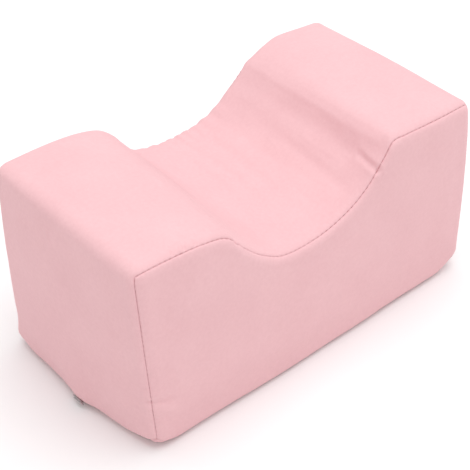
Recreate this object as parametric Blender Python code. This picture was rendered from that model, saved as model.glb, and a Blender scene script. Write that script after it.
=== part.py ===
"""A leg elevation pillow: a foam block in a sewn cover, with a rounded channel for the legs across its top.

The pillow is one filled solid. It starts as a cube cut into a lattice, whose edges are rounded and whose
top is then pulled down to the channel's profile. A zip slider sits under the left end's lower edge.

Metres, +Z up. X runs along the pillow, the seamed front panel faces -Y, and the legs lie along Y. The origin
is at the middle of the base, on the surface that the pillow rests on.
"""

from math import cos, exp, pi, sin, sqrt, tan

import bmesh
import bpy
from mathutils import Vector

# Driving sizes of the block, before the cover swells it.
LENGTH = 0.300
DEPTH = 0.148
HEIGHT = 0.146

# The top's profile. Its columns are the station along X from the left end, the height at the front seam, the
# height at the back seam, and how far the back has slid along X.
PROFILE = (
    (0.0000, 0.1530, 0.1500, 0.0060),
    (0.0330, 0.1520, 0.1500, 0.0030),
    (0.0585, 0.1490, 0.1480, 0.0060),
    (0.0740, 0.1440, 0.1430, 0.0105),
    (0.0865, 0.1300, 0.1335, 0.0105),
    (0.1015, 0.1160, 0.1180, 0.0070),
    (0.1210, 0.1050, 0.1110, 0.0020),
    (0.1520, 0.1040, 0.1080, 0.0000),
    (0.1770, 0.1110, 0.1120, 0.0010),
    (0.1950, 0.1225, 0.1210, 0.0000),
    (0.2095, 0.1395, 0.1365, 0.0030),
    (0.2170, 0.1490, 0.1440, 0.0070),
    (0.2300, 0.1490, 0.1495, 0.0070),
    (0.2475, 0.1480, 0.1520, 0.0020),
    (0.2725, 0.1470, 0.1502, 0.0000),
    (0.3000, 0.1470, 0.1480, -0.0010),
)

# How far each edge's rounding reaches in from the faces.
ROUND_ENDS = 0.009
ROUND_PANELS = 0.005
ROUND_TOP = 0.006
ROUND_BASE = 0.008
ROUND_STEPS = 2

# Lattice divisions between the roundings.
DIVISIONS_X = 34
DIVISIONS_Y = 12
DIVISIONS_Z = 11

# How far the filling swells the cover at the middle of each face.
SWELL_TOP = 0.002
SWELL_PANELS = 0.003
SWELL_ENDS = 0.003

# How far the left end is drawn in at its base, and the right end at its top.
LEFT_DRAWN_FRONT = 0.011
LEFT_DRAWN_MIDDLE = 0.0042
LEFT_DRAWN_BACK = 0.0085
RIGHT_DRAWN = 0.008
DRAWN_FADE = 3

# How far the base's corners lift off the surface, and where the corners start as a share of the half sizes.
CORNER_LIFT_LEFT = 0.0045
CORNER_LIFT_RIGHT = 0.009
CORNER_STARTS_X = 0.82
CORNER_STARTS_Y = 0.60
# How far the top's back right corner is pulled down.
CORNER_DROP = 0.003

# The zip's end, which pushes the left end's lower edge out.
ZIP_Y = -0.004
ZIP_Z = 0.008
ZIP_BUMP = 0.004
ZIP_BUMP_REACH_Y = 0.016
ZIP_BUMP_REACH_Z = 0.014
# Where the bump starts and has its full height, as shares of the half length towards the left end.
ZIP_BUMP_STARTS = 0.90
ZIP_BUMP_FULL = 0.96

# The zip's slider, as it lies in the edge's curve.
SLIDER_ROUND_STEPS = 2
SLIDER_WIDTH = 0.010
SLIDER_LENGTH = 0.005
SLIDER_THICKNESS = 0.0022
SLIDER_ROUND = 0.0007
SLIDER_GAP = 0.0003
SLIDER_TILT = 40 * pi / 180

# Edges bent by more than this are drawn sharp.
SHARP_ANGLE = 50 * pi / 180

COVER_PINK = (0.86, 0.50, 0.53)
ZIP_GREY = (0.55, 0.52, 0.52)


def make_material(name, colour, roughness, metallic):
    """A plain Principled material."""
    material = bpy.data.materials.new(name)
    material.use_nodes = True
    shader = material.node_tree.nodes["Principled BSDF"]
    shader.inputs["Base Color"].default_value = (*colour, 1)
    shader.inputs["Roughness"].default_value = roughness
    shader.inputs["Metallic"].default_value = metallic
    return material


def add_object(name, mesh, material, collection):
    """An object for the mesh, smooth but for its sharp edges."""
    mesh.materials.append(material)
    mesh.shade_smooth()
    mesh.set_sharp_from_angle(angle=SHARP_ANGLE)
    made = bpy.data.objects.new(name, mesh)
    collection.objects.link(made)
    return made


def profile_at(station):
    """Front height, back height and slide at a station, on a smooth curve through the profile's rows."""
    last = len(PROFILE) - 1
    station = min(max(station, 0), LENGTH)
    i = max(k for k in range(last) if PROFILE[k][0] <= station)
    span = PROFILE[i + 1][0] - PROFILE[i][0]
    t = (station - PROFILE[i][0]) / span

    def slope(k, column):
        before, after = PROFILE[max(k - 1, 0)], PROFILE[min(k + 1, last)]
        return (after[column] - before[column]) / (after[0] - before[0])

    return [
        PROFILE[i][column] * (1 - t) ** 2 * (1 + 2 * t)
        + PROFILE[i + 1][column] * t**2 * (3 - 2 * t)
        + slope(i, column) * span * t * (1 - t) ** 2
        - slope(i + 1, column) * span * t**2 * (1 - t)
        for column in (1, 2, 3)
    ]


def lines_along(low, high, round_low, round_high, divisions):
    """Where the lattice's lines cross one axis: even between the roundings, and even in angle around them."""
    bends = [tan(pi / 4 * step / ROUND_STEPS) for step in range(ROUND_STEPS, 0, -1)]
    inner_low, inner_high = low + round_low, high - round_high
    step = (inner_high - inner_low) / divisions
    return (
        [inner_low - round_low * bend for bend in bends]
        + [inner_low + step * i for i in range(divisions + 1)]
        + [inner_high + round_high * bend for bend in reversed(bends)]
    )


def cut_along(bm, axis, cuts):
    """Cuts every edge that runs along the axis."""
    along = [e for e in bm.edges if abs(e.verts[0].co[axis] - e.verts[1].co[axis]) > 1e-6]
    bmesh.ops.subdivide_edges(bm, edges=along, cuts=cuts, use_grid_fill=True)


def make_lattice_cube(lines):
    """A cube cut into a lattice, with each vertex put on the given lines."""
    bm = bmesh.new()
    bmesh.ops.create_cube(bm, size=1)
    for axis in range(3):
        cut_along(bm, axis, len(lines[axis]) - 2)
    for vertex in bm.verts:
        for axis in range(3):
            index = round((vertex.co[axis] + 0.5) * (len(lines[axis]) - 1))
            vertex.co[axis] = lines[axis][index]
    return bm


def past(value, low, high):
    """How far the value lies past the range from low to high, with its sign."""
    return value - min(max(value, low), high)


def round_edges(co):
    """Moves a point of the box's surface onto its rounded edges and corners."""
    reach = (ROUND_ENDS, ROUND_PANELS, ROUND_BASE if co.z < HEIGHT / 2 else ROUND_TOP)
    over = (
        past(co.x, -LENGTH / 2 + ROUND_ENDS, LENGTH / 2 - ROUND_ENDS),
        past(co.y, -DEPTH / 2 + ROUND_PANELS, DEPTH / 2 - ROUND_PANELS),
        past(co.z, ROUND_BASE, HEIGHT - ROUND_TOP),
    )
    parts = [over[axis] / reach[axis] for axis in range(3)]
    length = sqrt(sum(part**2 for part in parts))
    for axis in range(3):
        co[axis] += parts[axis] * reach[axis] * (1 / length - 1)


def eased(t):
    """0 below 0, 1 above 1, and smooth between."""
    t = min(max(t, 0), 1)
    return t * t * (3 - 2 * t)


def at_corner(u, v):
    """0 away from the block's upright corners, 1 at them; u and v are shares of the half sizes."""
    along = eased((abs(u) - CORNER_STARTS_X) / (1 - CORNER_STARTS_X))
    return along * eased((abs(v) - CORNER_STARTS_Y) / (1 - CORNER_STARTS_Y))


def left_drawn(v, rise):
    """How far the left end is drawn in at depth v and height rise."""
    curve = (LEFT_DRAWN_FRONT + LEFT_DRAWN_BACK) / 2 - LEFT_DRAWN_MIDDLE
    lean = (LEFT_DRAWN_BACK - LEFT_DRAWN_FRONT) / 2
    return (LEFT_DRAWN_MIDDLE + lean * v + curve * v * v) * (1 - rise)


def warp(co):
    """Gives the rounded block its channel, its swell, its leaning ends and its lifted corners."""
    u, v, rise = co.x / (LENGTH / 2), co.y / (DEPTH / 2), co.z / HEIGHT
    level = 2 * rise - 1
    front, back, slide = profile_at(co.x + LENGTH / 2)
    depth = (v + 1) / 2
    top = front + (back - front) * depth + SWELL_TOP * (1 - v * v)
    if u > 0 and v > 0:
        top -= CORNER_DROP * at_corner(u, v)

    x = co.x + slide * depth * rise**2
    x += u * SWELL_ENDS * abs(u) ** DRAWN_FADE * (1 - v * v) * (1 - level * level)
    x += left_drawn(v, rise) * max(-u, 0) ** DRAWN_FADE
    x -= RIGHT_DRAWN * rise**4 * max(u, 0) ** DRAWN_FADE
    bump = exp(-(((co.y - ZIP_Y) / ZIP_BUMP_REACH_Y) ** 2) - ((co.z - ZIP_Z) / ZIP_BUMP_REACH_Z) ** 2)
    x -= ZIP_BUMP * bump * eased((-u - ZIP_BUMP_STARTS) / (ZIP_BUMP_FULL - ZIP_BUMP_STARTS))

    y = co.y + v * SWELL_PANELS * (1 - u * u) * (1 - level * level)

    lift = (CORNER_LIFT_LEFT if u < 0 else CORNER_LIFT_RIGHT) * at_corner(u, v) * (1 - rise) ** 2
    co.x, co.y, co.z = x, y, co.z * top / HEIGHT + lift


def make_pillow(material, collection):
    """The filled pillow, as one closed solid centred over the origin."""
    bm = make_lattice_cube(
        (
            lines_along(-LENGTH / 2, LENGTH / 2, ROUND_ENDS, ROUND_ENDS, DIVISIONS_X),
            lines_along(-DEPTH / 2, DEPTH / 2, ROUND_PANELS, ROUND_PANELS, DIVISIONS_Y),
            lines_along(0, HEIGHT, ROUND_BASE, ROUND_TOP, DIVISIONS_Z),
        )
    )
    for vertex in bm.verts:
        round_edges(vertex.co)
    for vertex in bm.verts:
        warp(vertex.co)
    for axis in (0, 1):
        places = [vertex.co[axis] for vertex in bm.verts]
        middle = (min(places) + max(places)) / 2
        for vertex in bm.verts:
            vertex.co[axis] -= middle
    bmesh.ops.recalc_face_normals(bm, faces=bm.faces)
    mesh = bpy.data.meshes.new("pillow")
    bm.to_mesh(mesh)
    bm.free()
    return add_object("pillow", mesh, material, collection)


def edge_seat(pillow, outward):
    """The pillow's furthest point along outward, on the left end's lower edge beside the zip."""
    beside = [
        vertex.co
        for vertex in pillow.data.vertices
        if vertex.co.x < 0 and abs(vertex.co.y - ZIP_Y) < ZIP_BUMP_REACH_Y
    ]
    return max(beside, key=outward.dot)


def make_zip_slider(pillow, material, collection):
    """The zip's slider: a small rounded block lying against the curve of the lower edge."""
    bm = bmesh.new()
    bmesh.ops.create_cube(bm, size=1)
    bmesh.ops.scale(bm, vec=(SLIDER_THICKNESS, SLIDER_WIDTH, SLIDER_LENGTH), verts=bm.verts)
    bmesh.ops.bevel(
        bm,
        geom=bm.edges,
        offset=SLIDER_ROUND,
        segments=SLIDER_ROUND_STEPS,
        affect="EDGES",
        clamp_overlap=True,
    )
    mesh = bpy.data.meshes.new("zip_slider")
    bm.to_mesh(mesh)
    bm.free()
    slider = add_object("zip_slider", mesh, material, collection)
    outward = Vector((-cos(SLIDER_TILT), 0, -sin(SLIDER_TILT)))
    slider.location = edge_seat(pillow, outward) + outward * (SLIDER_GAP + SLIDER_THICKNESS / 2)
    slider.location.y = ZIP_Y
    slider.rotation_euler = (0, -SLIDER_TILT, 0)
    return slider


def main():
    for old in list(bpy.data.objects):
        bpy.data.objects.remove(old)
    collection = bpy.data.collections.new("leg_elevation_pillow")
    bpy.context.scene.collection.children.link(collection)
    cover = make_material("cover_pink", COVER_PINK, roughness=0.9, metallic=0)
    metal = make_material("zip_metal", ZIP_GREY, roughness=0.4, metallic=0.8)
    make_zip_slider(make_pillow(cover, collection), metal, collection)


main()
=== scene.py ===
from math import cos, pi, radians, sin

import bmesh
import bpy
import numpy as np
from mathutils import Matrix, Vector, noise
from mathutils.bvhtree import BVHTree


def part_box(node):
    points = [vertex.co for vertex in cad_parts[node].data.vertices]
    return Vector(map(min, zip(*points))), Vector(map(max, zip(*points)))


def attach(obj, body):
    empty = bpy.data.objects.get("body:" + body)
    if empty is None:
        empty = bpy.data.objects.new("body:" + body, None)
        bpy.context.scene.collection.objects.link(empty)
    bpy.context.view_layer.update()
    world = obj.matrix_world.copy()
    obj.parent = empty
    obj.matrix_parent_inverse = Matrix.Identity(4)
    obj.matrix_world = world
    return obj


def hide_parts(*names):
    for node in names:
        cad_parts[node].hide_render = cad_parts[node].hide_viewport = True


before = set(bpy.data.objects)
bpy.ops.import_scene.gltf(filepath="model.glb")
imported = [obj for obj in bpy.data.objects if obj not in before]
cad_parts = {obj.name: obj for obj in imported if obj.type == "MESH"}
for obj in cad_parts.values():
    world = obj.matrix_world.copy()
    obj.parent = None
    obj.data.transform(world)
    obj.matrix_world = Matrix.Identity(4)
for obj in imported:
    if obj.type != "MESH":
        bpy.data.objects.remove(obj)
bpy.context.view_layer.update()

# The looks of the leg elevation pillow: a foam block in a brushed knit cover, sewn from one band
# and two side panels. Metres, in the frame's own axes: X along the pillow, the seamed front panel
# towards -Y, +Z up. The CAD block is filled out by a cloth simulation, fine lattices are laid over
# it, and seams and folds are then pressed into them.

# Sizes of the plain block, before it is filled.
LENGTH = 0.300
DEPTH = 0.148
HEIGHT = 0.146
SHIFT_X = -0.0011

# The top's profile. Its columns are the station along X from the left end, the height at the
# front seam, the height at the back seam, and how far the back has slid along X.
PROFILE = (
    (0.0000, 0.1530, 0.1500, 0.0060),
    (0.0330, 0.1520, 0.1500, 0.0030),
    (0.0585, 0.1490, 0.1480, 0.0060),
    (0.0740, 0.1440, 0.1430, 0.0105),
    (0.0865, 0.1300, 0.1335, 0.0105),
    (0.1015, 0.1160, 0.1180, 0.0070),
    (0.1210, 0.1050, 0.1110, 0.0020),
    (0.1520, 0.1040, 0.1080, 0.0000),
    (0.1770, 0.1110, 0.1120, 0.0010),
    (0.1950, 0.1225, 0.1210, 0.0000),
    (0.2095, 0.1395, 0.1365, 0.0030),
    (0.2170, 0.1490, 0.1440, 0.0070),
    (0.2300, 0.1490, 0.1495, 0.0070),
    (0.2475, 0.1480, 0.1520, 0.0020),
    (0.2725, 0.1470, 0.1502, 0.0000),
    (0.3000, 0.1470, 0.1480, -0.0010),
)

# How far each edge's rounding reaches in, and how far inside the block the rays start.
ROUND_ENDS = 0.010
ROUND_FRONT = 0.008
ROUND_BACK = 0.005
ROUND_TOP_FRONT = 0.010
ROUND_TOP_BACK = 0.006
ROUND_BASE = 0.008
CORE = 0.030

# A height well inside the block, and how far off the rays start that find its faces.
INSIDE_HEIGHT = HEIGHT / 3
RAYS_FROM = 0.4

# How far the filling swells each face, how far the left end's foot and the right end's head are
# drawn in, how far the base's corners lift, and the shares of the half length and the half depth
# where the lifting starts.
SWELL_TOP = 0.002
SWELL_PANELS = 0.003
SWELL_ENDS = 0.003
LEFT_DRAWN_FRONT = 0.0130
LEFT_DRAWN_MIDDLE = 0.0042
LEFT_DRAWN_BACK = 0.0085
RIGHT_DRAWN = 0.008
CORNER_LIFT_LEFT = 0.0045
CORNER_LIFT_RIGHT = 0.009
CORNER_STARTS_X = 0.82
CORNER_STARTS_Y = 0.60

# The filling: how far the block is shrunk first, the cloth's settings, how far the cloth may then
# move, how near the floor it counts as lying on it, and how far the cover may sink with it.
SHRINK = 0.0006
VOXEL = 0.0042
CLOTH_FRAMES = 20
CLOTH_SETTINGS = {
    "quality": 5,
    "mass": 0.3,
    "tension_stiffness": 15,
    "compression_stiffness": 15,
    "shear_stiffness": 5,
    "bending_stiffness": 0.5,
    "use_pressure": True,
    "uniform_pressure_force": 4,
}
MOVE_OUT = 0.0009
MOVE_IN = 0.0006
FLOOR_NEAR = 0.0003
SINK_MOST = 0.0004
SOFTEN_ROUNDS = 6

# The lattices: distances of the fine lines from a seam, and the steps between the others.
FINE_LINES = (0, 0.00035, 0.0007, 0.0011, 0.0016, 0.0023, 0.0032, 0.0045, 0.006, 0.008)
STEP_X = 0.0009
STEP_Y = 0.0016
STEP_Z = 0.0011

# The seams run along the middle of the rounded edges, and the base's rise beside its corners. The
# groove is narrow at a stitch and widens between stitches, a lip stands up beside it, and the
# panels stand back from each other at its bottom.
BASE_RISE = 0.0060
BASE_CORNER = 0.014
STITCH_PITCH = 0.0040
SEAM_DEEP = 0.0009
SEAM_SHALLOW = 0.00002
GROOVE_NARROW = 0.00030
GROOVE_WIDENS = 0.00030
GROOVE_SHARPNESS = 1.3
LIP = 0.00035
LIP_AWAY = 0.002
BACK_CLOSED = 0.00003
BACK_OPENS = 0.00004
BACK_REACH = 0.001
THREAD_RADIUS = 0.00026
THREAD_LENGTH = 0.0016
THREAD_SINK = 0.00030

# The zip line at the left end's foot, pressed in as a groove.
ZIP_DEEP = 0.0022
ZIP_HALF_WIDTH = 0.0012

# The cover's unevenness is calmer beside a seam.
CALM_SHARE = 0.3
CALM_REACH = 0.004

# The part of the base that lies flat: how near the floor, and how far from the middle at most.
FLAT_BELOW = 0.0008
FLAT_X = 0.138
FLAT_Y = 0.066

# How strongly the top's seam shows. Its columns are x and the share of the full depth. Away from
# the top and its corners the share is SEAM_SHARE_BELOW.
SEAM_SHARES = (
    (-0.150, 0.80),
    (-0.078, 0.75),
    (-0.068, 0.45),
    (-0.012, 0.45),
    (0.004, 0.70),
    (0.055, 0.85),
    (0.062, 1.00),
    (0.075, 0.75),
    (0.150, 0.65),
)
SEAM_SHARE_BELOW = 0.65
SEAM_TOP_FROM = 0.085
SEAM_TOP_EASE = 0.01
SEAM_TOP_END = 0.146
SEAM_END_EASE = 0.004

# Where a seam shows as separate stitches: in the channel between two x, and low on the uprights.
DOTS_LEAST = 0.80
DOTS_FROM = -0.078
DOTS_TO = 0.066
DOTS_EASE = 0.01
DOTS_ABOVE = 0.08
DOTS_LOW = 0.115
DOTS_LOW_EASE = 0.02

# The cover's unevenness: the size and the height of its broad and its small waves.
BROAD_SIZE = 0.045
BROAD_HEIGHT = 0.00045
SMALL_SIZE = 0.014
SMALL_HEIGHT = 0.00014
SMALL_OFFSET = (7, 3, 5)

# Gathers at the back seam: their height and pitch, their place along Y, and their stretch of x.
PUCKER_HEIGHT = 0.0005
PUCKER_PITCH = 0.0085
PUCKER_SWAY = 0.35
PUCKER_SWAY_LENGTH = 0.011
PUCKER_Y = 0.074
PUCKER_REACH = 0.016
PUCKER_ABOVE = 0.09
PUCKER_FROM = -0.045
PUCKER_TO = 0.050
PUCKER_EASE = 0.02

# A fold's cross section is a trough with a low ridge at each side. The ridge's share of the depth,
# its distance in half widths, and its sharpness:
RIDGE_SHARE = 0.22
RIDGE_AWAY = 1.9
RIDGE_SHARPNESS = 1.6

# Folds and dents in the cloth. Their columns are the face that they lie on, the start and the end
# as the two coordinates of that face, the half width, and the depth at the start and at the end; a
# negative depth is a ridge. On the top the coordinates are x and y, on the front x and z, and on
# the left end y and z.
FOLDS = (
    ("top", 0.0580, 0.070, 0.0540, -0.020, 0.0085, 0.0010, 0.0016),
    ("top", 0.0540, -0.020, 0.0520, -0.046, 0.0075, 0.0016, 0.0014),
    ("top", 0.0555, -0.030, 0.0525, -0.056, 0.0030, 0.0002, 0.0012),
    ("top", 0.0525, -0.056, 0.0530, -0.0712, 0.0022, 0.0014, 0.0024),
    ("top", 0.0690, 0.072, 0.0610, -0.060, 0.0040, -0.0010, -0.0008),
    ("top", -0.068, 0.030, -0.073, -0.040, 0.0026, 0.0002, 0.0005),
    ("top", -0.073, -0.040, -0.070, -0.0710, 0.0022, 0.0005, 0.0010),
    ("top", -0.060, 0.030, -0.062, -0.050, 0.0030, 0.0002, 0.0003),
    ("top", -0.013, 0.072, -0.014, 0.013, 0.0035, 0.0009, 0.0005),
    ("top", -0.014, 0.013, -0.022, -0.039, 0.0040, 0.0005, 0.0001),
    ("top", -0.002, 0.072, -0.002, 0.006, 0.0035, 0.0008, 0.0006),
    ("top", -0.002, 0.006, -0.015, -0.056, 0.0040, 0.0006, 0.0002),
    ("top", 0.017, 0.072, 0.009, -0.008, 0.0040, 0.0007, 0.0005),
    ("top", 0.009, -0.008, 0.006, -0.049, 0.0040, 0.0005, 0.0001),
    ("top", 0.047, 0.062, 0.040, 0.003, 0.0050, 0.0002, 0.0005),
    ("top", 0.040, 0.003, 0.035, -0.060, 0.0040, 0.0005, 0.0003),
    ("top", -0.118, -0.0700, -0.112, -0.062, 0.0013, 0.0012, 0.0002),
    ("top", -0.109, -0.0700, -0.104, -0.060, 0.0013, 0.0013, 0.0002),
    ("top", -0.101, -0.0700, -0.097, -0.062, 0.0013, 0.0010, 0.0001),
    ("front", -0.141, 0.0460, -0.135, 0.0448, 0.0015, 0.0016, 0.0014),
    ("front", -0.135, 0.0448, -0.122, 0.0385, 0.0022, 0.0014, 0.0001),
    ("front", -0.140, 0.0400, -0.124, 0.0320, 0.0045, -0.0018, -0.0008),
    ("left", -0.060, 0.0365, -0.073, 0.0310, 0.0020, -0.0005, -0.0010),
    ("left", 0.014, 0.1330, 0.008, 0.1180, 0.0025, -0.0004, -0.0001),
    ("left", -0.004, 0.0090, -0.008, 0.0090, 0.0060, -0.0010, -0.0008),
    ("left", 0.070, 0.0080, 0.060, 0.0070, 0.0100, -0.0022, -0.0010),
    ("left", 0.036, 0.0080, 0.020, 0.0080, 0.0080, 0.0008, 0.0006),
)

COVER_DARK = (0.795, 0.475, 0.499, 1)
COVER_LIGHT = (0.845, 0.525, 0.547, 1)
COVER_SHEEN = (1.0, 0.80, 0.83, 1)
THREAD_DARK = (0.70, 0.34, 0.38, 1)
THREAD_LIGHT = (0.86, 0.50, 0.54, 1)
METAL_DARK = (0.55, 0.53, 0.53, 1)
METAL_LIGHT = (0.78, 0.76, 0.76, 1)
FLOOR_PALE = (0.93, 0.93, 0.93, 1)

# The knit's pitches. A wave texture repeats every pi / 10 of its scaled coordinate.
WAVE_REPEAT = 0.314159
WALE_PITCH = 0.0009
COURSE_PITCH = 0.0007

# The zip's slider, before it is tilted to lie against the left end's foot. The columns are the
# size, the place of the middle and the rounding: two plates, the bridge, the tab's loop, the tab.
SLIDER_TILT = radians(40)
SLIDER_SUNK = 0.0005
SLIDER_STRIP = 0.005
SLIDER_BLOCKS = (
    ((0.0006, 0.0086, 0.0048), (-0.0008, 0, 0), 0.00025),
    ((0.0006, 0.0086, 0.0048), (0.0008, 0, 0), 0.00025),
    ((0.0012, 0.0022, 0.0030), (0, 0.0026, 0), 0.0003),
    ((0.0009, 0.0030, 0.0016), (-0.0014, 0.0020, 0), 0.0003),
    ((0.0007, 0.0085, 0.0036), (-0.0019, -0.0012, 0), 0.0003),
)

# The floor, a hair below the pillow, and the light.
FLOOR_HALF = 4
FLOOR_BELOW = 0.0001
SURROUND_STRENGTH = 0.75
OVERHEAD_PLACE = (0.22, -0.22, 2.2)
OVERHEAD_AIM = (0, 0, 0.1)
OVERHEAD_SIZE = 2.6
OVERHEAD_ENERGY = 32

# The camera, fitted to the photograph: how it looks at the aim point, and how far that point is
# set off.
VIEW_AZIMUTH = radians(-41.509)
VIEW_ELEVATION = radians(38.112)
VIEW_ROLL = radians(-0.106)
VIEW_DISTANCE = 0.941911
SENSOR_WIDTH = 36
PICTURE_WIDTH_PIXELS = 470
FOCAL_LENGTH_PIXELS = 1376.213
AIM_HEIGHT = 0.075
AIM_RIGHT = -0.005775
AIM_UP = -0.010462


def eased(t):
    """0 below 0, 1 above 1, and smooth between."""
    t = np.clip(t, 0, 1)
    return t * t * (3 - 2 * t)


def profile_at(station):
    """Front height, back height and slide at each station, on a curve through the profile."""
    rows = np.array(PROFILE)
    last = len(rows) - 1
    station = np.clip(station, 0, LENGTH)
    i = np.clip(np.searchsorted(rows[:, 0], station, side="right") - 1, 0, last - 1)
    every = np.arange(last + 1)
    before, after = np.maximum(every - 1, 0), np.minimum(every + 1, last)
    slopes = (rows[after] - rows[before]) / (rows[after, :1] - rows[before, :1])
    span = (rows[i + 1, 0] - rows[i, 0])[..., None]
    t = (station - rows[i, 0])[..., None] / span
    curve = (
        rows[i] * (1 - t) ** 2 * (1 + 2 * t)
        + rows[i + 1] * t**2 * (3 - 2 * t)
        + slopes[i] * span * t * (1 - t) ** 2
        - slopes[i + 1] * span * t**2 * (1 - t)
    )
    return curve[..., 1], curve[..., 2], curve[..., 3]


def reaches(q):
    """How far the rounding reaches in from the faces at each point, along each axis."""
    depth = np.clip(q[..., 1] / DEPTH + 0.5, 0, 1)
    top = ROUND_TOP_FRONT + (ROUND_TOP_BACK - ROUND_TOP_FRONT) * depth
    across = ROUND_FRONT + (ROUND_BACK - ROUND_FRONT) * depth
    low = q[..., 2] < HEIGHT / 2
    return np.stack([np.full(depth.shape, ROUND_ENDS), across, np.where(low, ROUND_BASE, top)], -1)


def past_flat(q):
    """How far each point lies past the faces' flat parts, with its sign."""
    reach = reaches(q)
    half = np.array((LENGTH / 2, DEPTH / 2, HEIGHT / 2))
    centred = q - np.array((0, 0, HEIGHT / 2))
    return centred - np.clip(centred, reach - half, half - reach)


def rounded(q):
    """Moves points of the box's surface onto its rounded edges and corners."""
    reach = reaches(q)
    parts = past_flat(q) / reach
    length = np.maximum(np.linalg.norm(parts, axis=-1, keepdims=True), 1e-9)
    return q + parts * reach * (1 / length - 1)


def at_corner(u, v):
    """How near each point is to an upright edge of the block, from 0 to 1."""
    along = eased((np.abs(u) - CORNER_STARTS_X) / (1 - CORNER_STARTS_X))
    return along * eased((np.abs(v) - CORNER_STARTS_Y) / (1 - CORNER_STARTS_Y))


def warped(q):
    """Gives points of the plain block its channel, its swell, its lean and its lifted corners."""
    u, v, rise = q[..., 0] / (LENGTH / 2), q[..., 1] / (DEPTH / 2), q[..., 2] / HEIGHT
    level = 2 * rise - 1
    front, back, slide = profile_at(q[..., 0] + LENGTH / 2)
    depth = (v + 1) / 2
    top = front + (back - front) * depth + SWELL_TOP * (1 - v * v)
    x = q[..., 0] + slide * depth * rise**2
    x += u * SWELL_ENDS * np.abs(u) ** 3 * (1 - v * v) * (1 - level * level)
    curve = (LEFT_DRAWN_FRONT + LEFT_DRAWN_BACK) / 2 - LEFT_DRAWN_MIDDLE
    lean = (LEFT_DRAWN_BACK - LEFT_DRAWN_FRONT) / 2
    x += (LEFT_DRAWN_MIDDLE + lean * v + curve * v * v) * (1 - rise) * np.maximum(-u, 0) ** 3
    x -= RIGHT_DRAWN * rise**4 * np.maximum(u, 0) ** 3
    y = q[..., 1] + v * SWELL_PANELS * (1 - u * u) * (1 - level * level)
    lift = np.where(u < 0, CORNER_LIFT_LEFT, CORNER_LIFT_RIGHT) * at_corner(u, v) * (1 - rise) ** 2
    return np.stack([x + SHIFT_X, y, q[..., 2] * top / HEIGHT + lift], -1)


def fill_body(node):
    """The CAD block, filled out by a cloth simulation, as a ray target."""
    bm = bmesh.new()
    bm.from_mesh(node.data)
    bmesh.ops.remove_doubles(bm, verts=bm.verts, dist=1e-6)
    bm.normal_update()
    for vertex in bm.verts:
        vertex.co -= vertex.normal * SHRINK
    mesh = bpy.data.meshes.new("filled_body")
    bm.to_mesh(mesh)
    bm.free()
    body = bpy.data.objects.new("filled_body", mesh)
    bpy.context.scene.collection.objects.link(body)
    remesh = body.modifiers.new("remesh", "REMESH")
    remesh.mode = "VOXEL"
    remesh.voxel_size = VOXEL
    bake(body)
    rest = vertex_places(body.data)

    cloth = body.modifiers.new("cloth", "CLOTH")
    for setting, value in CLOTH_SETTINGS.items():
        setattr(cloth.settings, setting, value)
    cloth.settings.effector_weights.gravity = 0
    cloth.point_cache.frame_start = 1
    cloth.point_cache.frame_end = CLOTH_FRAMES
    for number in range(1, CLOTH_FRAMES + 1):
        bpy.context.scene.frame_set(number)
    bake(body)
    bpy.context.scene.frame_set(1)

    moved = vertex_places(body.data) - rest
    length = np.maximum(np.linalg.norm(moved, axis=1, keepdims=True), 1e-9)
    normal = np.empty(rest.size)
    body.data.vertices.foreach_get("normal", normal)
    outward = (moved * normal.reshape(-1, 3)).sum(1, keepdims=True) > 0
    cap = np.where(outward, MOVE_OUT, MOVE_IN)
    places = rest + moved / length * cap * np.tanh(length / cap)
    low = rest[:, 2] < SHRINK + FLOOR_NEAR
    places[:, 2] = np.where(low, 0, np.maximum(places[:, 2], 0))
    body.data.vertices.foreach_set("co", places.ravel())
    smooth = body.modifiers.new("smooth", "SMOOTH")
    smooth.iterations = 1
    body.modifiers.new("subdivide", "SUBSURF").levels = 1
    bake(body)
    return body


def bake(body):
    """Puts the object's evaluated mesh in the place of its own, and takes its modifiers off."""
    graph = bpy.context.evaluated_depsgraph_get()
    mesh = bpy.data.meshes.new_from_object(body.evaluated_get(graph))
    body.modifiers.clear()
    body.data = mesh


def vertex_places(mesh):
    """The mesh's vertices as an array of points."""
    places = np.empty(len(mesh.vertices) * 3)
    mesh.vertices.foreach_get("co", places)
    return places.reshape(-1, 3)


def lay_over(q, tree):
    """Lays a lattice given in the plain block's coordinates over the filled body.

    Without a tree it lies on the block as it was before the filling.
    """
    core_low = np.array((-LENGTH / 2 + CORE, -DEPTH / 2 + CORE, CORE))
    core_high = np.array((LENGTH / 2 - CORE, DEPTH / 2 - CORE, HEIGHT - CORE))
    start = warped(np.clip(q, core_low, core_high))
    plain = warped(rounded(q))
    along = plain - start
    length = np.linalg.norm(along, axis=-1, keepdims=True)
    along /= length
    extra = np.zeros(length.shape[:-1])
    if tree:
        for index in np.ndindex(extra.shape):
            hit = tree.ray_cast(Vector(start[index]), Vector(along[index]))
            extra[index] = max(hit[3] - length[index][0], -SINK_MOST) if hit[0] else 0
        extra = soften(extra, SOFTEN_ROUNDS)
    return plain + along * extra[..., None]


def soften(field, rounds):
    """Smooths a field over the lattice."""
    for _ in range(rounds):
        for axis in (0, 1):
            padded = np.concatenate([field.take([0], axis), field, field.take([-1], axis)], axis)
            size = padded.shape[axis]
            low = padded.take(range(0, size - 2), axis)
            high = padded.take(range(2, size), axis)
            field = (low + 2 * field + high) / 4
    return field


def lines(low, high, step):
    """Where lattice lines cross one axis: fine beside the seam at each side, and even between."""
    fine = np.array(FINE_LINES)
    count = round((high - low - 2 * fine[-1]) / step)
    middle = np.linspace(low + fine[-1], high - fine[-1], count + 1)
    return np.concatenate([low + fine[:-1], middle, (high - fine[:-1])[::-1]])


def base_rise(x, y):
    """How far the base's seams have risen over the edges beside its corners."""
    away = np.hypot(LENGTH / 2 - np.abs(x), DEPTH / 2 - np.abs(y))
    return BASE_RISE * eased(1 - away / BASE_CORNER)


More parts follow.
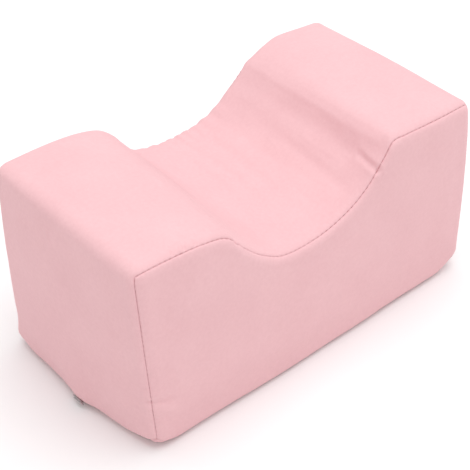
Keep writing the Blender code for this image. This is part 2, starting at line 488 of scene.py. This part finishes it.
def panel_lattice(side):
    """The lattice of the front panel (side -1) or the back panel (side 1): x by z."""
    xs, zs = lines(-LENGTH / 2, LENGTH / 2, STEP_X), lines(0, HEIGHT, STEP_Z)
    x, z = np.meshgrid(xs, zs, indexing="ij")
    z = z + base_rise(x, DEPTH / 2) * np.clip(1 - z / CORE, 0, 1)
    return np.stack([x, np.full(x.shape, side * DEPTH / 2), z], -1)


def band_lattice():
    """The lattice of the band: around the ends, the top and the base, by depth.

    It comes with the line around, whose columns are x, z, and 1 on the base.
    """
    xs, zs = lines(-LENGTH / 2, LENGTH / 2, STEP_X), lines(0, HEIGHT, STEP_Z)
    around = np.array(
        [(xs[0], z, 0) for z in zs]
        + [(x, HEIGHT, 0) for x in xs[1:]]
        + [(xs[-1], z, 0) for z in zs[-2::-1]]
        + [(x, 0, 1) for x in xs[-2:0:-2]]
        + [(xs[0], 0, 1)]
    )
    ys = lines(-DEPTH / 2, DEPTH / 2, STEP_Y)
    x, z, y = (np.repeat(around[:, axis][:, None], len(ys), 1) for axis in (0, 1, 2))
    on_base, y = y == 1, np.repeat(ys[None, :], len(around), 0)
    rise = base_rise(x, y)
    q = np.stack([x, y, z], -1)
    stretch = 1 / (1 - rise / ROUND_BASE) - 1
    q[..., :2] += np.where(on_base[..., None], past_flat(q)[..., :2] * stretch[..., None], 0)
    q[..., 2] += np.where(on_base, 0, rise * np.clip(1 - z / CORE, 0, 1))
    return q, around


def gradients(p):
    """Unit steps along both lattice directions, and the outward normals."""
    along, across = np.gradient(p, axis=0), np.gradient(p, axis=1)
    along /= np.maximum(np.linalg.norm(along, axis=-1, keepdims=True), 1e-12)
    across /= np.maximum(np.linalg.norm(across, axis=-1, keepdims=True), 1e-12)
    normal = np.cross(along, across)
    normal /= np.maximum(np.linalg.norm(normal, axis=-1, keepdims=True), 1e-12)
    middle = np.array((0, 0, INSIDE_HEIGHT))
    if ((p - middle) * normal).sum() < 0:
        normal = -normal
    return along, across, normal


def lengths(p, axis):
    """Distance along the lattice lines of one axis, from their start."""
    steps = np.linalg.norm(np.diff(p, axis=axis), axis=-1)
    start = np.zeros_like(steps.take([0], axis))
    return np.concatenate([start, np.cumsum(steps, axis)], axis)


def gape(station, level):
    """How far the seam stands open: 1 midway between stitches, and 1 - level at a stitch."""
    wave = 0.5 + 0.5 * np.cos(2 * pi * station / STITCH_PITCH)
    return 1 - level * (1 - wave)


def seam_share(p):
    """The share of the seam's full depth at each point."""
    rows = np.array(SEAM_SHARES)
    top = eased((p[..., 2] - SEAM_TOP_FROM) / SEAM_TOP_EASE)
    top = top * eased((SEAM_TOP_END - np.abs(p[..., 0])) / SEAM_END_EASE)
    share = np.interp(p[..., 0], rows[:, 0], rows[:, 1])
    return SEAM_SHARE_BELOW + (share - SEAM_SHARE_BELOW) * top


def seam_press(distance, station, dotted, share):
    """How high the cloth stands beside the seam, less its dip, and how far it stands back."""
    opened = gape(station, dotted)
    deep = SEAM_SHALLOW + (SEAM_DEEP - SEAM_SHALLOW) * opened
    away = distance / (GROOVE_NARROW + GROOVE_WIDENS * opened)
    dip = share * deep * np.exp(-(away**GROOVE_SHARPNESS))
    lip = LIP * (distance / LIP_AWAY) * np.exp(1 - distance / LIP_AWAY)
    back = (BACK_CLOSED + BACK_OPENS * opened) * np.exp(-((distance / BACK_REACH) ** 2))
    return lip - dip, back


def waviness(p):
    """The cover's gentle unevenness."""
    flat = p.reshape(-1, 3)
    offset = Vector(SMALL_OFFSET)
    broad = np.array([noise.noise(Vector(point) / BROAD_SIZE) for point in flat])
    small = np.array([noise.noise(Vector(point) / SMALL_SIZE + offset) for point in flat])
    return (BROAD_HEIGHT * broad + SMALL_HEIGHT * small).reshape(p.shape[:-1])


def on_face(face, a, b, tree):
    """The body's point at two coordinates of a face, or None where they miss the body."""
    start, towards = {
        "top": (Vector((a, b, RAYS_FROM)), Vector((0, 0, -1))),
        "front": (Vector((a, -RAYS_FROM, b)), Vector((0, 1, 0))),
        "left": (Vector((-RAYS_FROM, a, b)), Vector((1, 0, 0))),
    }[face]
    return tree.ray_cast(start, towards)[0]


def fold_depth(p, tree):
    """The folds' depth at each point: the deepest trough there plus the highest ridge."""
    deepest, highest = np.zeros(p.shape[:-1]), np.zeros(p.shape[:-1])
    for face, a1, b1, a2, b2, width, depth1, depth2 in FOLDS:
        start, end = on_face(face, a1, b1, tree), on_face(face, a2, b2, tree)
        if start is None or end is None:
            continue
        start, end = np.array(start), np.array(end)
        run = end - start
        t = np.clip(((p - start) @ run) / (run @ run), 0, 1)
        away = np.linalg.norm(p - start - t[..., None] * run, axis=-1) / width
        ridge = RIDGE_SHARE * np.exp(-((away - RIDGE_AWAY) ** 2) * RIDGE_SHARPNESS)
        shape = np.exp(-(away**2)) - ridge
        depth = (depth1 + (depth2 - depth1) * t) * shape
        deepest, highest = np.maximum(deepest, depth), np.minimum(highest, depth)
    return deepest + highest


def back_puckers(p):
    """Small gathers where the back seam draws the channel's cloth in."""
    x, y, z = p[..., 0], p[..., 1], p[..., 2]
    near = np.exp(-(((PUCKER_Y - y) / PUCKER_REACH) ** 2)) * (z > PUCKER_ABOVE)
    window = eased((x - PUCKER_FROM) / PUCKER_EASE) * eased((PUCKER_TO - x) / PUCKER_EASE)
    turns = x / PUCKER_PITCH + PUCKER_SWAY * np.sin(x / PUCKER_SWAY_LENGTH)
    return PUCKER_HEIGHT * near * window * np.sin(2 * pi * turns)


def add_piece(name, p, uv, material):
    """A mesh object from a lattice of points."""
    rows, columns = p.shape[:2]
    index = np.arange(rows * columns).reshape(rows, columns)
    corners = (index[:-1, :-1], index[1:, :-1], index[1:, 1:], index[:-1, 1:])
    quads = np.stack(corners, -1).reshape(-1, 4)
    middle = np.array((0, 0, INSIDE_HEIGHT))
    a, b, c = (p.reshape(-1, 3)[quads[:, k]] for k in (0, 1, 2))
    facing = np.cross(b - a, c - a)
    if (facing * (a - middle)).sum() < 0:
        quads = quads[:, ::-1]
    mesh = bpy.data.meshes.new(name)
    mesh.from_pydata(p.reshape(-1, 3).tolist(), [], quads.tolist())
    layer = mesh.uv_layers.new(name="cloth")
    layer.data.foreach_set("uv", uv.reshape(-1, 2)[quads.ravel()].ravel())
    mesh.materials.append(material)
    mesh.shade_smooth()
    made = bpy.data.objects.new(name, mesh)
    bpy.context.scene.collection.objects.link(made)
    return made


def link(tree, a, out, b, into):
    """Links a node's output to another node's input."""
    tree.links.new(a.outputs[out], b.inputs[into])


def cloth_material():
    """A brushed knit: fine wales under a short nap, faintly mottled, with a soft sheen."""
    material = bpy.data.materials.new("cover_knit")
    material.use_nodes = True
    tree = material.node_tree
    shader = tree.nodes["Principled BSDF"]
    shader.inputs["Roughness"].default_value = 0.92
    shader.inputs["Specular IOR Level"].default_value = 0.15
    shader.inputs["Sheen Weight"].default_value = 0.25
    shader.inputs["Sheen Roughness"].default_value = 0.45
    shader.inputs["Sheen Tint"].default_value = COVER_SHEEN

    uv = tree.nodes.new("ShaderNodeUVMap")
    uv.uv_map = "cloth"
    place = tree.nodes.new("ShaderNodeTexCoord")

    def noise_node(scale, detail):
        made = tree.nodes.new("ShaderNodeTexNoise")
        made.inputs["Scale"].default_value = scale
        made.inputs["Detail"].default_value = detail
        link(tree, place, "Object", made, "Vector")
        return made

    def wave_node(pitch, direction):
        made = tree.nodes.new("ShaderNodeTexWave")
        made.bands_direction = direction
        made.inputs["Scale"].default_value = WAVE_REPEAT / pitch
        made.inputs["Distortion"].default_value = 1.5
        made.inputs["Detail"].default_value = 2
        made.inputs["Detail Scale"].default_value = 2
        link(tree, uv, "UV", made, "Vector")
        return made

    mottle = noise_node(scale=420, detail=5)
    patch = noise_node(scale=28, detail=3)
    nap = noise_node(scale=1900, detail=3)
    wales = wave_node(WALE_PITCH, "X")
    courses = wave_node(COURSE_PITCH, "Y")

    tones = tree.nodes.new("ShaderNodeMix")
    tones.data_type = "FLOAT"
    tones.inputs["Factor"].default_value = 0.45
    link(tree, mottle, "Fac", tones, "A")
    link(tree, patch, "Fac", tones, "B")
    ramp = tree.nodes.new("ShaderNodeValToRGB")
    ramp.color_ramp.elements[0].position = 0.30
    ramp.color_ramp.elements[0].color = COVER_DARK
    ramp.color_ramp.elements[1].position = 0.70
    ramp.color_ramp.elements[1].color = COVER_LIGHT
    link(tree, tones, "Result", ramp, "Fac")
    link(tree, ramp, "Color", shader, "Base Color")

    knit = tree.nodes.new("ShaderNodeMath")
    knit.operation = "MULTIPLY"
    link(tree, wales, "Fac", knit, 0)
    link(tree, courses, "Fac", knit, 1)
    before = None
    for source, distance in ((knit, 0.00004), (nap, 0.00008), (mottle, 0.00010)):
        bump = tree.nodes.new("ShaderNodeBump")
        bump.inputs["Strength"].default_value = 1
        bump.inputs["Distance"].default_value = distance
        link(tree, source, 0, bump, "Height")
        if before:
            link(tree, before, "Normal", bump, "Normal")
        before = bump
    link(tree, before, "Normal", shader, "Normal")
    return material


def thread_material():
    """A spun sewing thread, a little rosier than the cloth."""
    material = bpy.data.materials.new("seam_thread")
    material.use_nodes = True
    tree = material.node_tree
    shader = tree.nodes["Principled BSDF"]
    shader.inputs["Roughness"].default_value = 0.6
    shader.inputs["Sheen Weight"].default_value = 0.2
    place = tree.nodes.new("ShaderNodeTexCoord")
    twist = tree.nodes.new("ShaderNodeTexNoise")
    twist.inputs["Scale"].default_value = 2500
    link(tree, place, "Object", twist, "Vector")
    ramp = tree.nodes.new("ShaderNodeValToRGB")
    ramp.color_ramp.elements[0].color = THREAD_DARK
    ramp.color_ramp.elements[1].color = THREAD_LIGHT
    link(tree, twist, "Fac", ramp, "Fac")
    link(tree, ramp, "Color", shader, "Base Color")
    bump = tree.nodes.new("ShaderNodeBump")
    bump.inputs["Distance"].default_value = 0.00005
    link(tree, twist, "Fac", bump, "Height")
    link(tree, bump, "Normal", shader, "Normal")
    return material


def metal_material():
    """Satin zip metal with fine scratches."""
    material = bpy.data.materials.new("zip_satin")
    material.use_nodes = True
    tree = material.node_tree
    shader = tree.nodes["Principled BSDF"]
    shader.inputs["Metallic"].default_value = 0.85
    place = tree.nodes.new("ShaderNodeTexCoord")
    wear = tree.nodes.new("ShaderNodeTexNoise")
    wear.inputs["Scale"].default_value = 900
    wear.inputs["Detail"].default_value = 5
    link(tree, place, "Object", wear, "Vector")
    ramp = tree.nodes.new("ShaderNodeValToRGB")
    ramp.color_ramp.elements[0].color = METAL_DARK
    ramp.color_ramp.elements[1].color = METAL_LIGHT
    link(tree, wear, "Fac", ramp, "Fac")
    link(tree, ramp, "Color", shader, "Base Color")
    rough = tree.nodes.new("ShaderNodeMapRange")
    rough.inputs["To Min"].default_value = 0.28
    rough.inputs["To Max"].default_value = 0.5
    link(tree, wear, "Fac", rough, "Value")
    link(tree, rough, "Result", shader, "Roughness")
    bump = tree.nodes.new("ShaderNodeBump")
    bump.inputs["Distance"].default_value = 0.00003
    link(tree, wear, "Fac", bump, "Height")
    link(tree, bump, "Normal", shader, "Normal")
    return material


def dottedness(points):
    """How much each stretch of a seam shows as separate stitches: most on the channel's slopes."""
    x, z = points[..., 0], points[..., 2]
    channel = eased((x - DOTS_FROM) / DOTS_EASE) * eased((DOTS_TO - x) / DOTS_EASE)
    channel = channel * (z > DOTS_ABOVE)
    low = eased((DOTS_LOW - z) / DOTS_LOW_EASE)
    return DOTS_LEAST + (1 - DOTS_LEAST) * np.maximum(channel, low)


def make_threads(seams, material):
    """Short threads crossing the seams, one at every stitch."""
    bm = bmesh.new()
    for station, places, across, normal in seams:
        count = int(station[-1] / STITCH_PITCH)
        for k in range(count):
            at = (k + 0.5) * STITCH_PITCH
            centre, over, out = (
                np.array([np.interp(at, station, field[:, axis]) for axis in range(3)])
                for field in (places, across, normal)
            )
            over = Vector(over).normalized()
            out = Vector(out).normalized()
            side = over.cross(out).normalized()
            turn = Matrix((side, out, over)).transposed().to_4x4()
            shape = Matrix.Diagonal((THREAD_RADIUS, THREAD_RADIUS, THREAD_LENGTH / 2, 1))
            spot = Matrix.Translation(Vector(centre) - out * THREAD_SINK)
            place = spot @ turn @ shape
            bmesh.ops.create_uvsphere(bm, u_segments=6, v_segments=4, radius=1, matrix=place)
    mesh = bpy.data.meshes.new("seam_stitches")
    bm.to_mesh(mesh)
    bm.free()
    mesh.materials.append(material)
    mesh.shade_smooth()
    made = bpy.data.objects.new("seam_stitches", mesh)
    bpy.context.scene.collection.objects.link(made)
    return made


def dress(p, seams, tree, zip_distance=None):
    """Presses seams, folds and unevenness into a lattice that lies over the body.

    Each seam is its distance from the points, its own length up to them, and the way from it.
    """
    _, _, normal = gradients(p)
    out = waviness(p) - fold_depth(p, tree) + back_puckers(p)
    shift = np.zeros_like(p)
    nearest = np.full(p.shape[:-1], 1.0)
    press = np.zeros(p.shape[:-1])
    for distance, station, towards in seams:
        dip, back = seam_press(distance, station, dottedness(p), seam_share(p))
        closer = distance < nearest
        press = np.where(closer, dip, press)
        nearest = np.where(closer, distance, nearest)
        shift += towards * back[..., None]
    if zip_distance is not None:
        press -= ZIP_DEEP * np.exp(-((zip_distance / ZIP_HALF_WIDTH) ** 2))
    calm = 1 - CALM_SHARE * np.exp(-((nearest / CALM_REACH) ** 2))
    placed = p + normal * (out * calm + press)[..., None] + shift
    middle = (np.abs(p[..., 0]) < FLAT_X) & (np.abs(p[..., 1]) < FLAT_Y)
    resting = (p[..., 2] < FLAT_BELOW) & middle
    placed[..., 2] = np.where(resting, 0, np.maximum(placed[..., 2], 0))
    return placed


def build_band(material, tree, filled):
    """The band, its line around, and its two seams, front first.

    A seam is the length along it, its points, the ways across the band there and the normals.
    """
    q, around = band_lattice()
    band = lay_over(q, filled)
    _, across, normal = gradients(band)
    run, from_front = lengths(band, 0), lengths(band, 1)
    from_back = from_front[:, -1:] - from_front
    wide = band.shape[1]
    placed = dress(
        band,
        (
            (from_front, np.repeat(run[:, :1], wide, 1), across),
            (from_back, np.repeat(run[:, -1:], wide, 1), -across),
        ),
        tree,
        zip_distance=np.minimum(run, run[-1:] - run),
    )
    piece = add_piece("cover_band", placed, np.stack([run, from_front], -1), material)
    seams = [(run[:, edge], band[:, edge], across[:, edge], normal[:, edge]) for edge in (0, -1)]
    return piece, around, seams


def build_panel(name, side, station, around, material, tree, filled):
    """A side panel. Station is the length along the band's seam at each point of its line."""
    p = lay_over(panel_lattice(side), filled)
    along, over, _ = gradients(p)
    m, n = p.shape[:2]
    # The band's line starts at the left end's foot. It has n points up that end, m along the top
    # and n down the right end, with shared corners. These are the points where stretches start.
    top_start, right_start, base_start = n - 1, n + m - 2, 2 * n + m - 3
    left = np.repeat(station[None, :n], m, 0)
    top = np.repeat(station[top_start : top_start + m][:, None], n, 1)
    right = np.repeat(station[right_start : right_start + n][::-1][None, :], m, 0)
    xs = lines(-LENGTH / 2, LENGTH / 2, STEP_X)
    base_x, base_station = around[base_start:, 0][::-1], station[base_start:][::-1]
    base = np.repeat(np.interp(xs, base_x, base_station)[:, None], n, 1)
    from_left, from_base = lengths(p, 0), lengths(p, 1)
    from_right, from_top = from_left[-1:] - from_left, from_base[:, -1:] - from_base
    placed = dress(
        p,
        (
            (from_left, left, along),
            (from_top, top, -over),
            (from_right, right, -along),
            (from_base, base, over),
        ),
        tree,
    )
    return add_piece(name, placed, np.stack([from_left, from_base], -1), material)


def build_cover():
    """The band, the two side panels and their stitches."""
    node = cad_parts["pillow"]
    material = cloth_material()
    body = fill_body(node)
    bpy.context.view_layer.update()
    tree = BVHTree.FromObject(body, bpy.context.evaluated_depsgraph_get())
    filled = tree
    band, around, seams = build_band(material, tree, filled)
    pieces = [band]
    for name, side, seam in (("panel_front", -1, seams[0]), ("panel_back", 1, seams[1])):
        pieces.append(build_panel(name, side, seam[0], around, material, tree, filled))
    bpy.data.objects.remove(body)
    return pieces, make_threads(seams, thread_material())


def seat_on(band, near, outward):
    """The cover's furthest point along outward, in the strip of the band beside a place."""
    places = vertex_places(band.data)
    beside = places[(np.abs(places[:, 1] - near.y) < SLIDER_STRIP) & (places[:, 0] < 0)]
    best = Vector(beside[np.argmax(beside @ np.array(outward))])
    return Vector((best.x, near.y, best.z))


def build_slider(material, band):
    """The zip's slider: two plates joined by a bridge, with its tab folded against them."""
    low, high = (Vector(corner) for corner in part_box("zip_slider"))
    outward = Vector((-cos(SLIDER_TILT), 0, -sin(SLIDER_TILT)))
    centre = seat_on(band, (low + high) / 2, outward) - outward * SLIDER_SUNK
    bm = bmesh.new()
    for size, place, rounding in SLIDER_BLOCKS:
        made = bmesh.ops.create_cube(bm, size=1)["verts"]
        bmesh.ops.scale(bm, vec=size, verts=made)
        bmesh.ops.translate(bm, vec=place, verts=made)
        edges = list({edge for vertex in made for edge in vertex.link_edges})
        bmesh.ops.bevel(
            bm, geom=edges, offset=rounding, segments=3, affect="EDGES", clamp_overlap=True
        )
    turn = Matrix.Rotation(-SLIDER_TILT, 4, "Y")
    bmesh.ops.transform(bm, matrix=Matrix.Translation(centre) @ turn, verts=bm.verts)
    mesh = bpy.data.meshes.new("zip_slider_body")
    bm.to_mesh(mesh)
    bm.free()
    mesh.materials.append(material)
    mesh.shade_smooth()
    made = bpy.data.objects.new("zip_slider_body", mesh)
    bpy.context.scene.collection.objects.link(made)
    return made


def build_floor():
    """A plain pale floor."""
    mesh = bpy.data.meshes.new("floor")
    far = FLOOR_HALF
    corners = [(-far, -far, 0), (far, -far, 0), (far, far, 0), (-far, far, 0)]
    mesh.from_pydata(corners, [], [(0, 1, 2, 3)])
    material = bpy.data.materials.new("floor_pale")
    material.use_nodes = True
    shader = material.node_tree.nodes["Principled BSDF"]
    shader.inputs["Base Color"].default_value = FLOOR_PALE
    shader.inputs["Roughness"].default_value = 0.9
    shader.inputs["Specular IOR Level"].default_value = 0.1
    mesh.materials.append(material)
    floor = bpy.data.objects.new("floor", mesh)
    floor.location.z = -FLOOR_BELOW
    bpy.context.scene.collection.objects.link(floor)
    return floor


def light_scene():
    """A white surround and one broad soft light overhead."""
    world = bpy.data.worlds.new("surround")
    bpy.context.scene.world = world
    world.use_nodes = True
    background = world.node_tree.nodes["Background"]
    background.inputs["Color"].default_value = (1, 1, 1, 1)
    background.inputs["Strength"].default_value = SURROUND_STRENGTH
    data = bpy.data.lights.new("overhead", "AREA")
    data.shape = "DISK"
    data.size = OVERHEAD_SIZE
    data.energy = OVERHEAD_ENERGY
    overhead = bpy.data.objects.new("overhead", data)
    overhead.location = OVERHEAD_PLACE
    towards = Vector(OVERHEAD_AIM) - overhead.location
    overhead.rotation_euler = towards.to_track_quat("-Z", "Y").to_euler()
    bpy.context.scene.collection.objects.link(overhead)
    bpy.context.scene.view_settings.view_transform = "Standard"


def place_camera():
    """The camera as it stood for the photograph."""
    a, e = VIEW_AZIMUTH, VIEW_ELEVATION
    back = Vector((sin(a) * cos(e), -cos(a) * cos(e), sin(e)))
    right = Vector((cos(a), sin(a), 0))
    up = back.cross(right)
    x_axis = right * cos(VIEW_ROLL) + up * sin(VIEW_ROLL)
    y_axis = up * cos(VIEW_ROLL) - right * sin(VIEW_ROLL)
    data = bpy.data.cameras.new("camera")
    data.sensor_width = SENSOR_WIDTH
    data.lens = FOCAL_LENGTH_PIXELS / PICTURE_WIDTH_PIXELS * SENSOR_WIDTH
    data.clip_start = 0.01
    camera = bpy.data.objects.new("camera", data)
    spot = Vector((0, 0, AIM_HEIGHT)) + right * AIM_RIGHT + up * AIM_UP + back * VIEW_DISTANCE
    turn = Matrix((x_axis, y_axis, back)).transposed().to_4x4()
    camera.matrix_world = Matrix.Translation(spot) @ turn
    bpy.context.scene.collection.objects.link(camera)
    bpy.context.scene.camera = camera


cover, stitches = build_cover()
for piece in cover:
    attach(piece, "root")
    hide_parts("pillow")
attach(stitches, "root")
slider = build_slider(metal_material(), cover[0])
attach(slider, "root")
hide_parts("zip_slider")
build_floor()
light_scene()
place_camera()
